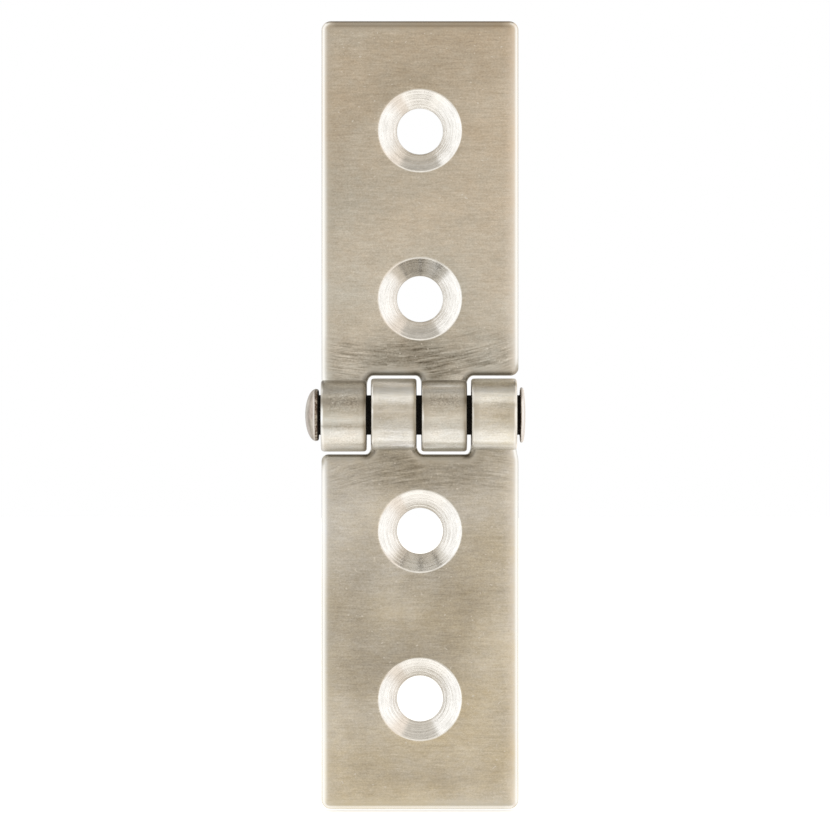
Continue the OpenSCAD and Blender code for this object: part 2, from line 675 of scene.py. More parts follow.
class Skin:
    """A mesh being gathered: its points in the drawing, what they remember, and its faces."""

    def __init__(self) -> None:
        """Starts with nothing."""
        self.points: list[np.ndarray] = []
        self.marks: list[Marks] = []
        self.faces: list[tuple[int, ...]] = []
        self.slots: list[int] = []
        self.count = 0

    def add(self, points: np.ndarray, **marks: Union[float, np.ndarray]) -> np.ndarray:
        """Adds points.

        Args:
            points: one row of three numbers for each.
            marks: what they remember, by the mark's name.

        Returns:
            The points' numbers in the mesh.
        """
        rows = np.asarray(points, float).reshape(-1, 3)
        self.points.append(rows)
        self.marks.append({name: np.zeros(len(rows)) + value for name, value in marks.items()})
        numbers = np.arange(self.count, self.count + len(rows))
        self.count += len(rows)
        return numbers

    def face(self, corners: Sequence[int], slot: int = 0) -> None:
        """Adds one face with the finish in this material slot."""
        self.faces.append(tuple(int(c) for c in corners))
        self.slots.append(slot)

    def bridge(self, loops: Sequence[np.ndarray], slot: int = 0) -> None:
        """Joins each closed loop to the next with four-sided faces.

        Args:
            loops: loops with the same number of points.
            slot: the material slot of the faces.
        """
        for near, far in zip(loops, loops[1:]):
            near_next, far_next = np.roll(near, -1), np.roll(far, -1)
            for corners in zip(near, near_next, far_next, far):
                self.face(corners, slot)

    def mesh(self, name: str, place: Callable[[np.ndarray], np.ndarray]) -> bpy.types.Mesh:
        """Makes the mesh.

        Args:
            name: the mesh's name.
            place: takes the drawing's points to the frame, in metres.

        Returns:
            The mesh, smooth and with its faces looking outwards.
        """
        mesh = bpy.data.meshes.new(name)
        mesh.from_pydata(place(np.concatenate(self.points)).tolist(), [], self.faces)
        mesh.polygons.foreach_set("material_index", self.slots)
        for mark in sorted({key for marks in self.marks for key in marks}):
            values = [m.get(mark, np.zeros(len(p))) for m, p in zip(self.marks, self.points)]
            attribute = mesh.attributes.new(mark, "FLOAT", "POINT")
            attribute.data.foreach_set("value", np.concatenate(values).astype(np.float32))
        form = bmesh.new()
        form.from_mesh(mesh)
        bmesh.ops.recalc_face_normals(form, faces=form.faces)
        form.to_mesh(mesh)
        form.free()
        mesh.shade_smooth()
        return mesh


def inside(points: np.ndarray, loop: np.ndarray) -> np.ndarray:
    """Tells which points are inside a closed loop.

    Args:
        points: rows of two numbers.
        loop: the loop's corners in order, rows of two numbers.

    Returns:
        True for each point inside.
    """
    start, end = loop, np.roll(loop, -1, axis=0)
    x, y = points[:, :1], points[:, 1:2]
    crossed = (start[:, 1] > y) != (end[:, 1] > y)
    rise = np.where(end[:, 1] == start[:, 1], 1.0, end[:, 1] - start[:, 1])
    at = start[:, 0] + (y - start[:, 1]) * (end[:, 0] - start[:, 0]) / rise
    return np.count_nonzero(crossed & (x < at), axis=1) % 2 == 1


def fill(skin: Skin, rim: Loop, holes: Sequence[Loop], between: Loop) -> None:
    """Fills what lies inside a rim and outside its holes with triangles.

    Args:
        skin: the mesh that gets the faces.
        rim: the rim's points in the drawing, and their numbers in the mesh.
        holes: the same for each hole.
        between: the same for the loose points between them.
    """
    loops = [rim, *holes]
    flat = np.concatenate([points for points, _ in (*loops, between)])
    numbers = np.concatenate([own for _, own in (*loops, between)])
    edges, start = [], 0
    for points, _ in loops:
        size = len(points)
        edges += [(start + k, start + (k + 1) % size) for k in range(size)]
        start += size
    made = delaunay_2d_cdt([Vector(p) for p in flat], edges, [], 0, 1e-6)
    places = np.array([tuple(p) for p in made[0]])
    corners = np.array(made[2])
    middles = places[corners].mean(axis=1)
    keep = inside(middles, rim[0])
    for points, _ in holes:
        keep &= ~inside(middles, points)
    origins = [own[0] for own in made[3]]
    for triangle in corners[keep]:
        skin.face([numbers[origins[k]] for k in triangle])


def smooth_step(value: np.ndarray, low: float, high: float) -> np.ndarray:
    """Rises smoothly from 0 to 1 as a value goes from low to high."""
    share = np.clip((value - low) / (high - low), 0.0, 1.0)
    return share * share * (3 - 2 * share)


# ------------------------------------------------------------------ the leaves


class Turn(Enum):
    """How a leaf stands: the two are the same piece, one turned end for end."""

    UPRIGHT = 1
    OVER = -1


@dataclass(frozen=True)
class Corner:
    """A corner of the cut sheet, with the radii that round it along u and v."""

    u: float
    v: float
    radius_u: float
    radius_v: float


@dataclass(frozen=True)
class EdgeForm:
    """How the sheet's edge runs into its face: a tumbled round, then a shallow rolled slope."""

    round_in: float
    round_deep: float
    slope_in: float
    slope_deep: float
    round_steps: int = 7
    slope_steps: int = 5

    def insets(self) -> list[float]:
        """Places the loops that carry the edge.

        Returns:
            How far each lies inside the outline, from the edge inwards.
        """
        turns = [math.pi / 2 * k / self.round_steps for k in range(self.round_steps + 1)]
        rounds = [self.round_in * (1 - math.cos(turn)) for turn in turns]
        run = self.slope_in - self.round_in
        shares = [k / self.slope_steps for k in range(1, self.slope_steps + 1)]
        slopes = [self.round_in + run * share for share in shares]
        return rounds + slopes

    def depth(self, inset: float) -> float:
        """How far the edge has fallen away.

        Args:
            inset: the distance from the outline.

        Returns:
            How far the sheet lies below its face there.
        """
        bend = max(1 - inset / self.round_in, 0.0)
        fall = max(1 - inset / self.slope_in, 0.0)
        return self.round_deep * (1 - math.sqrt(1 - bend * bend)) + self.slope_deep * fall**2


@dataclass(frozen=True)
class Roll:
    """One knuckle's roll: where the press left creases, and its bands of painted highlight and painted
    shade.

    Angles are degrees round the roll from where the sheet leaves the flat. A roll can also have
    come out a little to one side, which is its shift along the pin in mm.
    """

    creases: tuple[float, ...]
    # painted highlights and painted shade round the roll: the angle, width and gain of each band
    painted_bands: tuple[tuple[float, float, float], ...]
    shift: float = 0.0
    flatness: float = 0.36

    def dent(self, angle: np.ndarray, radius: float) -> np.ndarray:
        """How far the roll's outside stands in from a true cylinder, between its creases.

        Args:
            angle: degrees round the roll.
            radius: the cylinder's radius.

        Returns:
            The distances in mm.
        """
        edges = np.array([0.0, *self.creases, 360.0])
        index = np.clip(np.searchsorted(edges, angle) - 1, 0, len(edges) - 2)
        half = np.radians(edges[index + 1] - edges[index]) / 2
        share = (np.radians(angle - edges[index]) - half) / half
        flat = radius * (1 - np.cos(half)) * (1 - share**2)
        worn = (index > 0) & (index < len(edges) - 2)
        return np.where(worn, self.flatness * flat, 0.0)

    def tone(self, angle: np.ndarray) -> np.ndarray:
        """How bright the steel is painted round the roll, with its bands of painted highlight and
        painted shade, where 1 is the plain steel.
        """
        painted_bands = (gain * np.exp(-(((angle - at) / wide) ** 2)) for at, wide, gain in self.painted_bands)
        return 1.0 + sum(painted_bands, np.zeros(len(angle)))


@dataclass(frozen=True)
class SheetSizes:
    """The sizes, in mm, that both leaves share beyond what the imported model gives."""

    thickness: float = 2.5
    knuckle_gap: float = 0.8
    slot_gap: float = 0.44
    curl_gap: float = 0.28
    bore_radius: float = 3.06
    far_radius: float = 1.4
    shoulder_radius: float = 1.1
    slot_radius_u: float = 0.95
    slot_radius_v: float = 1.4
    roll_end_radius: float = 0.5
    sink_radius: float = 6.3
    hole_radius: float = 3.5
    sink_land: float = 0.15


@dataclass(frozen=True)
class Spacing:
    """How fine a leaf's mesh is: the distances between its points, in mm."""

    fine: float = 0.32
    coarse: float = 1.2
    fine_across: float = 0.5
    coarse_across: float = 1.2
    clear: float = 0.16
    around: int = 112
    corner_steps: int = 6
    cone_steps: int = 34


@dataclass(frozen=True)
class PaintedEdgeShade:
    """How much painted shade darkens the inner edges, as shares of the steel's brightness: it stands
    for the shade that the knuckles and the leaf cast on each other.

    The slots' tops and the sides of the knuckles that face right or left each have their own
    share of the whole. It is strongest a little way inside the outline. The far end's share darkens the
    steel along the leaf's far end.
    """

    whole: float = 0.60
    far_end: float = 0.0
    slot_top: float = 0.75
    right: float = 1.0
    left: float = 0.35
    inset: float = 0.12
    spread: float = 0.42


@dataclass
class Leaf:
    """One leaf, cut from sheet and rolled, with its countersunk screw holes."""

    piece: str
    node: str
    body: str
    turn: Turn
    screws: str
    rolls: tuple[Roll, Roll]
    sizes: SheetSizes = SheetSizes()
    spacing: Spacing = Spacing()
    edge_shade: PaintedEdgeShade = PaintedEdgeShade()
    front: EdgeForm = EdgeForm(1.0, 0.44, 2.4, 0.17)
    back: EdgeForm = EdgeForm(0.42, 0.36, 1.1, 0.03)
    knuckle_count: int = 4
    tip_pull: float = 0.26
    tip_degrees: tuple[float, float] = (205.0, 272.0)

    def __post_init__(self) -> None:
        """Takes the leaf's overall sizes, its screws and the pin's axis from the frame."""
        low, high = (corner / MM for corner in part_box(self.node))
        screws = named(frame["record"]["mounts"], self.screws)
        self.axis = Vector(named(frame["joints"], "leaf_fold")["pos_m"]) / MM
        self.width = high.x - low.x
        self.barrel = (high.y - low.y) / 2
        self.length = max(high.z - self.axis.z, self.axis.z - low.z)
        middle = abs(screws["pos_m"][2] / MM - self.axis.z)
        half = screws["dims"]["spacing_y_mm"] / 2
        self.holes = (middle - half, middle + half)
        self.slot_v = self.barrel + self.sizes.slot_gap
        reach = (self.sizes.bore_radius - self.sizes.curl_gap) / self.barrel
        self.roll_degrees = 270 + math.degrees(math.asin(reach))

    @property
    def knuckle_width(self) -> float:
        """The width of one knuckle along the pin."""
        gaps = (self.knuckle_count - 1) * self.sizes.knuckle_gap
        return (self.width - gaps) / self.knuckle_count

    def knuckle_middle(self, own: int) -> float:
        """Where this leaf's first or second knuckle has its middle."""
        pitch = self.knuckle_width + self.sizes.knuckle_gap
        return -self.width / 2 + self.knuckle_width / 2 + 2 * own * pitch

    @property
    def roll_end(self) -> float:
        """Where the sheet ends at the tips of its rolls, along v."""
        return -self.barrel * math.radians(self.roll_degrees)

    def outline(self) -> list[Corner]:
        """Draws the cut sheet, unrolled.

        Returns:
            Its corners, anticlockwise as seen from its front.
        """
        s = self.sizes
        half, reach = self.width / 2, self.knuckle_width / 2
        next_left = self.knuckle_middle(1) - reach
        corners = []
        for middle in (self.knuckle_middle(0), self.knuckle_middle(1)):
            left, right = middle - reach, middle + reach
            corners.append(Corner(left, self.roll_end, s.roll_end_radius, s.roll_end_radius))
            corners.append(Corner(right, self.roll_end, s.roll_end_radius, s.roll_end_radius))
            corners.append(Corner(right, self.slot_v, s.slot_radius_u, s.slot_radius_v))
            corners.append(Corner(next_left, self.slot_v, s.slot_radius_u, s.slot_radius_v))
        corners[-1] = Corner(half, self.slot_v, s.shoulder_radius, s.shoulder_radius)
        corners.append(Corner(half, self.length, s.far_radius, s.far_radius))
        corners.append(Corner(-half, self.length, s.far_radius, s.far_radius))
        return corners

    def cuts(self, start: np.ndarray, end: np.ndarray) -> list[float]:
        """Where a straight run of the outline is divided: finely on the rolls.

        Args:
            start: the run's first point.
            end: its last point.

        Returns:
            Shares of the run's length.
        """
        fine, coarse = self.spacing.fine, self.spacing.coarse
        length = float(np.linalg.norm(end - start))
        shares, at = [], 0.0
        while True:
            v = start[1] + (end[1] - start[1]) * at / length
            at += fine if v < self.slot_v + 1.5 else coarse
            if at > length - fine / 2:
                return shares
            shares.append(at / length)

    def loop(self, inset: float) -> np.ndarray:
        """The outline moved inwards, with the same number of points at every inset.

        Args:
            inset: how far.

        Returns:
            The loop's points, rows of u and v.
        """
        corners, steps = self.outline(), self.spacing.corner_steps
        outer = [self.arc(corners, k, 0.0, steps) for k in range(len(corners))]
        inner = [self.arc(corners, k, inset, steps) for k in range(len(corners))]
        points = []
        for k in range(len(corners)):
            after = (k + 1) % len(corners)
            shares = self.cuts(outer[k][-1], outer[after][0])
            start, end = inner[k][-1], inner[after][0]
            points.extend(inner[k])
            points.extend(start + (end - start) * share for share in shares)
        return np.array(points)

    @staticmethod
    def arc(corners: list[Corner], index: int, inset: float, steps: int) -> np.ndarray:
        """One rounded corner of the outline.

        Args:
            corners: every corner.
            index: which one.
            inset: how far inside the outline.
            steps: how many pieces the arc has.

        Returns:
            The arc's points, rows of u and v.
        """
        here = np.array([corners[index].u, corners[index].v])
        before = np.array([corners[index - 1].u, corners[index - 1].v])
        following = corners[(index + 1) % len(corners)]
        after = np.array([following.u, following.v])
        come = (here - before) / np.linalg.norm(here - before)
        go = (after - here) / np.linalg.norm(after - here)
        left = np.array([[0.0, -1.0], [1.0, 0.0]])
        outward = come[0] * go[1] - come[1] * go[0] > 0
        radii = np.array([corners[index].radius_u, corners[index].radius_v])
        moved = np.maximum(radii - inset, 0.3 * radii) if outward else radii + inset
        tip = here + inset * (left @ come + left @ go)
        turns = np.linspace(0.0, math.pi / 2, steps + 1)[:, None]
        centre = tip + (go - come) * moved
        return centre - go * moved * np.cos(turns) + come * moved * np.sin(turns)

    def build(self) -> bpy.types.Object:
        """Builds the leaf's mesh.

        Returns:
            The leaf, in the frame.
        """
        skin = Skin()
        s = self.sizes
        fronts = self.edge_loops(skin, self.front, lambda depth: s.thickness - depth)
        backs = self.edge_loops(skin, self.back, lambda depth: depth)
        skin.bridge([own for _, own in fronts[::-1]] + [own for _, own in backs])
        front_holes, back_holes = zip(*[self.sink(skin, v) for v in self.holes])
        for rim, holes, level in ((fronts[-1], front_holes, s.thickness), (backs[-1], back_holes, 0.0)):
            fill(skin, rim, holes, self.field_points(skin, rim[0], holes, level))
        return add_object(self.piece, skin.mesh(self.piece, self.place))

    def edge_loops(self, skin: Skin, form: EdgeForm, level: Callable[[float], float]) -> list[Loop]:
        """The loops that carry one face's rounded edge.

        Args:
            skin: the mesh that gets the points.
            form: the edge's form.
            level: takes a depth below the face to a depth in the sheet.

        Returns:
            Each loop's points in the drawing and their numbers, from the edge inwards.
        """
        loops = []
        for inset in form.insets():
            points = self.loop(inset)
            rows = np.column_stack([points, np.full(len(points), level(form.depth(inset)))])
            marks = {"edge": inset, "tone": self.tone(rows, inset), "rolled": self.rolled(rows)}
            loops.append((points, skin.add(rows, **marks)))
        return loops

    def field_points(self, skin: Skin, rim: np.ndarray, holes: Sequence[Loop], level: float) -> Loop:
        """Loose points between a face's rim and its holes, close together on the rolls.

        Args:
            skin: the mesh that gets the points.
            rim: the rim's points.
            holes: the holes' points and their numbers.
            level: the face's depth in the sheet.

        Returns:
            The points in the drawing and their numbers.
        """
        border, spacing, half = self.slot_v + 2, self.spacing, self.width / 2
        near = [(v, spacing.fine_across) for v in np.arange(self.roll_end, border, spacing.fine)]
        far = [(v, spacing.coarse_across) for v in np.arange(border, self.length, spacing.coarse)]
        grid = np.array([(u, v) for v, gap in near + far for u in np.arange(-half, half, gap)])
        grid = grid[inside(grid, rim)]
        for loop in (rim, *(points for points, _ in holes)):
            away = np.linalg.norm(grid[:, None, :] - loop[None, :, :], axis=2).min(axis=1)
            grid = grid[away > spacing.clear]
        for points, _ in holes:
            grid = grid[~inside(grid, points)]
        places = np.column_stack([grid, np.full(len(grid), level)])
        marks = {"edge": OFF_EDGE, "tone": self.tone(places), "rolled": self.rolled(places)}
        return grid, skin.add(places, **marks)

    def sink(self, skin: Skin, v: float) -> tuple[Loop, Loop]:
        """One screw hole: a softened rim, the cut cone with its rings, the land and the back.

        Args:
            skin: the mesh that gets the hole's wall.
            v: the hole's height on the leaf.

        Returns:
            The hole's loop in the front face and in the back face, with their numbers.
        """
        s, around = self.sizes, self.spacing.around
        slope = (s.thickness - s.sink_land) / (s.sink_radius - s.hole_radius)
        rim = [(0.22, 0.0), (0.12, 0.006), (0.04, 0.03), (-0.03, 0.07)]
        radii = np.linspace(s.sink_radius - 0.10, s.hole_radius + 0.05, self.spacing.cone_steps)
        ripple = 0.0022 * np.sin(radii * 13.1) + 0.0016 * np.sin(radii * 21.0 + v)
        cone = [(r, s.thickness - (s.sink_radius - r) * slope - w) for r, w in zip(radii, ripple)]
        profile = [(s.sink_radius + out, s.thickness - deep) for out, deep in rim] + cone
        back_rim = [(0.0, s.sink_land), (0.02, 0.06), (0.07, 0.015), (0.15, 0.0), (0.45, 0.0)]
        profile += [(s.hole_radius + out, depth) for out, depth in back_rim]
        turns = np.linspace(0.0, 2 * math.pi, around, endpoint=False)
        circle = np.column_stack([np.cos(turns), np.sin(turns)])
        loops = []
        for radius, depth in profile:
            points = circle * radius + (0.0, v)
            rows = np.column_stack([points, np.full(around, depth)])
            loops.append((points, skin.add(rows, edge=OFF_EDGE, tone=1.0, reach=radius)))
        numbers = [own for _, own in loops]
        soft = len(rim)
        skin.bridge(numbers[: soft - 1])
        skin.bridge(numbers[soft - 2 :], 1)
        return loops[0], loops[-1]

    def knuckle_of(self, u: np.ndarray) -> np.ndarray:
        """Which of the leaf's two knuckles each point along the pin belongs to."""
        border = (self.knuckle_middle(0) + self.knuckle_middle(1)) / 2
        return (u > border).astype(int)

    def middles(self, u: np.ndarray) -> np.ndarray:
        """Where the knuckle of each point along the pin has its middle."""
        return np.where(self.knuckle_of(u) == 0, self.knuckle_middle(0), self.knuckle_middle(1))

    def tone(self, rows: np.ndarray, inset: float = 9.0) -> np.ndarray:
        """How bright the steel is: painted light and shade bands round the rolls, and painted shade
        along the inner edges.

        Args:
            rows: u, v and d of the points.
            inset: how far inside the outline they are.

        Returns:
            The tone of each point, where 1 is the plain steel.
        """
        u, v = rows[:, 0], rows[:, 1]
        half, edge_shade = self.width / 2, self.edge_shade
        angle = np.degrees(np.maximum(-v, 0.0) / self.barrel)
        tones = [roll.tone(angle) for roll in self.rolls]
        # painted light and shade bands round the rolls
        band_light_and_shade = np.where(v < 0, np.where(self.knuckle_of(u) == 0, tones[0], tones[1]), 1.0)
        inner = 1 - smooth_step(v, self.slot_v + 0.8, self.slot_v + 2.4)
        inner = inner * smooth_step(u, -half + 1.0, -half + 2.0)
        # painted shade: the knuckles' sides and the slots' tops are darkened where their neighbours
        # would shade them
        faces_right = (u - self.middles(u)) * self.turn.value > 0
        sides = np.where(faces_right, edge_shade.right, edge_shade.left)
        share = np.where(v > self.slot_v - 0.4, edge_shade.slot_top, sides)
        fading = math.exp(-(((inset - edge_shade.inset) / edge_shade.spread) ** 2))
        end = smooth_step(v, self.length - 1.15, self.length - 0.75)
        end = end * smooth_step(half - np.abs(u), 0.7, 2.2)
        return band_light_and_shade * (1 - edge_shade.whole * share * inner * fading) * (1 - edge_shade.far_end * end)

    def rolled(self, rows: np.ndarray) -> np.ndarray:
        """1 on the rolls, and 0 on the flat."""
        return smooth_step(-rows[:, 1], 0.0, 3.0)

    def place(self, rows: np.ndarray) -> np.ndarray:
        """Rolls the drawing up and stands it in the frame.

        Args:
            rows: u, v and d in mm.

        Returns:
            x, y and z in metres.
        """
        u, v, depth = rows.T
        angle = np.maximum(-v, 0.0) / self.barrel
        degrees = np.degrees(angle)
        own = self.knuckle_of(u)
        shift = np.where(own == 0, self.rolls[0].shift, self.rolls[1].shift)
        u = u + shift * (1 - smooth_step(v, self.slot_v - 1.2, self.slot_v + 1.2))
        dents = [roll.dent(degrees, self.barrel) for roll in self.rolls]
        dent = np.where(own == 0, dents[0], dents[1])
        dent = dent + self.tip_pull * smooth_step(degrees, *self.tip_degrees)
        radius = self.barrel - depth - dent * (1 - depth / self.sizes.thickness)
        rolled = v < 0
        y = np.where(rolled, -self.barrel + radius * np.cos(angle), -depth)
        z = np.where(rolled, -radius * np.sin(angle), v)
        side = self.turn.value
        return np.column_stack([u * side, y, z * side + self.axis.z]) * MM

    def dress(self, piece: bpy.types.Object, sheet: BrushedSteel, sink: bpy.types.Material) -> None:
        """Gives the leaf its finishes and hangs it on its body.

        Args:
            piece: the leaf.
            sheet: the finish of the sheet.
            sink: the material of the cut cones.
        """
        piece.data.materials.append(sheet.material())
        piece.data.materials.append(sink)
        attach(piece, self.body)
        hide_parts(self.node)


# --------------------------------------------------------------------- the pin


@dataclass(frozen=True)
class PinRing:
    """One ring of the pin's profile, in mm: its place along the pin and its radius.

    It also says how soiled the steel is there and how deep in painted shadow, how bright it is, and how
    far hammering pulls the ring in at most.
    """

    along: float
    radius: float
    soil: float
    tone: float = 1.0
    pulled: float = 0.0


@dataclass
class RivetPin:
    """The pin: a domed formed head, a shank, and the end that was hammered over."""

    piece: str = "rivet_pin"
    node: str = "hinge_pin"
    body: str = "hinge_pin"
    shank_radius: float = 3.0
    head_height: float = 2.1
    dome_radius: float = 3.97
    dome_height: float = 1.42
    dome_curve: float = 1.65
    tail_height: float = 0.85
    tail_tone: float = 1.75
    # tip_tone is painted shade at the middle of both ends
    tip_tone: float = 0.5
    around: int = 96
    seed: int = 7

    def head_profile(self) -> list[PinRing]:
        """The formed head: a dome with painted shade at its tip, a ridge with a painted highlight, a
        soiled band, and its underside painted near black as shadow.

        Returns:
            Its rings, from its tip.
        """
        tops = [self.dome_height * (k / 14) ** 2 for k in range(1, 15)]
        rings = []
        for along in tops:
            ridge = math.exp(-(((along - self.dome_height) / 0.13) ** 2))
            radius = self.dome_radius * math.sqrt(1 - (1 - along / self.dome_curve) ** 2)
            # painted highlight along the dome's ridge, and painted shade at its tip, where the side
            # light would burn it out
            tone = self.tip_tone + (1 - self.tip_tone) * min(along / 0.30, 1.0) + 0.6 * ridge
            rings.append(PinRing(along, radius, 0.0, tone, 0.02 * min(along, 1.0)))
        rings += [PinRing(1.50, 3.95, 0.42), PinRing(1.62, 3.95, 0.45), PinRing(1.76, 3.94, 0.50)]
        rings += [PinRing(1.86, 3.91, 0.60), PinRing(1.92, 3.88, 0.95), PinRing(2.02, 3.80, 1.0)]
        return rings + [PinRing(2.08, 3.60, 1.0), PinRing(self.head_height, 3.06, 1.0)]

    def tail_profile(self) -> list[PinRing]:
        """The hammered head: soiled beside the roll and painted in shadow where it meets the shank,
        bright outside, with painted shade towards the middle of its face.

        Returns:
            Its rings, from its inner face.
        """
        inner = [(0.0, 3.06, 0.9), (0.01, 3.45, 0.7), (0.03, 3.85, 0.6), (0.07, 4.14, 0.55)]
        lip = [(0.14, 4.29, 0.5), (0.24, 4.35, 0.1), (0.38, 4.30, 0.0), (0.52, 4.16, 0.0)]
        face = [(0.62, 3.85, 0.0), (0.70, 3.3, 0.0), (0.77, 2.5, 0.0), (0.82, 1.6, 0.0)]
        face.append((0.845, 0.7, 0.0))
        rings = []
        for along, radius, soil in inner + lip + face:
            pulled = 0.17 * max(radius - self.shank_radius, 0.0)
            # painted shade towards the middle of the hammered face; paler steel outside it
            tone = min(self.tail_tone, self.tip_tone + 0.3 * radius)
            rings.append(PinRing(along, radius, soil, tone, pulled))
        return rings

    def build(self) -> bpy.types.Object:
        """Builds the pin's mesh.

        Returns:
            The pin, in the frame.
        """
        low, high = (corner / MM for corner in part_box(self.node))
        shank_start, shank_end = low.x + self.head_height, high.x - self.tail_height
        shank = np.linspace(shank_start + 0.15, shank_end - 0.15, 40)
        skin = Skin()
        loops = []
        for ring in self.head_profile():
            loops.append(self.circle(skin, low.x, ring))
        for x in shank:
            loops.append(self.circle(skin, float(x), PinRing(0.0, self.shank_radius, 1.0)))
        for ring in self.tail_profile():
            loops.append(self.circle(skin, shank_end, ring))
        skin.bridge(loops)
        self.cap(skin, loops[0], low.x, self.tip_tone)
        self.cap(skin, loops[-1], high.x - 0.002, self.tip_tone)
        _, y, z = named(frame["joints"], "pin_spin")["pos_m"]
        mesh = skin.mesh(self.piece, lambda rows: rows * MM + (0.0, y, z))
        return add_object(self.piece, mesh)

    def circle(self, skin: Skin, start: float, ring: PinRing) -> np.ndarray:
        """One loop of points round the pin.

        Args:
            skin: the mesh that gets the points.
            start: where the ring's own place is counted from, along the pin.
            ring: the ring.

        Returns:
            The points' numbers.
        """
        draw = np.random.default_rng(self.seed)
        turns = np.linspace(0.0, 2 * math.pi, self.around, endpoint=False)
        wave = sum(
            draw.uniform(0.4, 1.0) / count * np.sin(count * turns + draw.uniform(0, 2 * math.pi))
            for count in (2, 3, 5, 8, 13)
        )
        radii = ring.radius - ring.pulled * (0.5 + 0.5 * wave / np.abs(wave).max())
        along = np.full(self.around, start + ring.along)
        rows = np.column_stack([along, radii * np.cos(turns), radii * np.sin(turns)])
        return skin.add(rows, soil=ring.soil, tone=ring.tone)

    @staticmethod
    def cap(skin: Skin, loop: np.ndarray, x: float, tone: float) -> None:
        """Closes an end of the pin with a fan of triangles at its tip.

        Args:
            skin: the mesh that gets the faces.
            loop: the numbers of the last ring's points.
            x: the tip's place along the pin.
            tone: how bright the tip is.
        """
        tip = skin.add([[x, 0.0, 0.0]], soil=0.0, tone=tone)[0]
        for near, far in zip(loop, np.roll(loop, -1)):
            skin.face((near, far, tip))

    def dress(self, piece: bpy.types.Object, steel: PinSteel) -> None:
        """Gives the pin its finish and hangs it on its body.

        Args:
            piece: the pin.
            steel: its finish.
        """
        piece.data.materials.append(steel.material())
        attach(piece, self.body)
        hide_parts(self.node)


# ------------------------------------------------------------------ the studio


@dataclass(frozen=True)
class Glow:
    """One part of the light round the hinge: its colour, and how strong it is."""

    colour: Colour
    strength: float

    @property
    def light(self) -> Colour:
        """The colour times the strength."""
        red, green, blue = (channel * self.strength for channel in self.colour)
        return red, green, blue


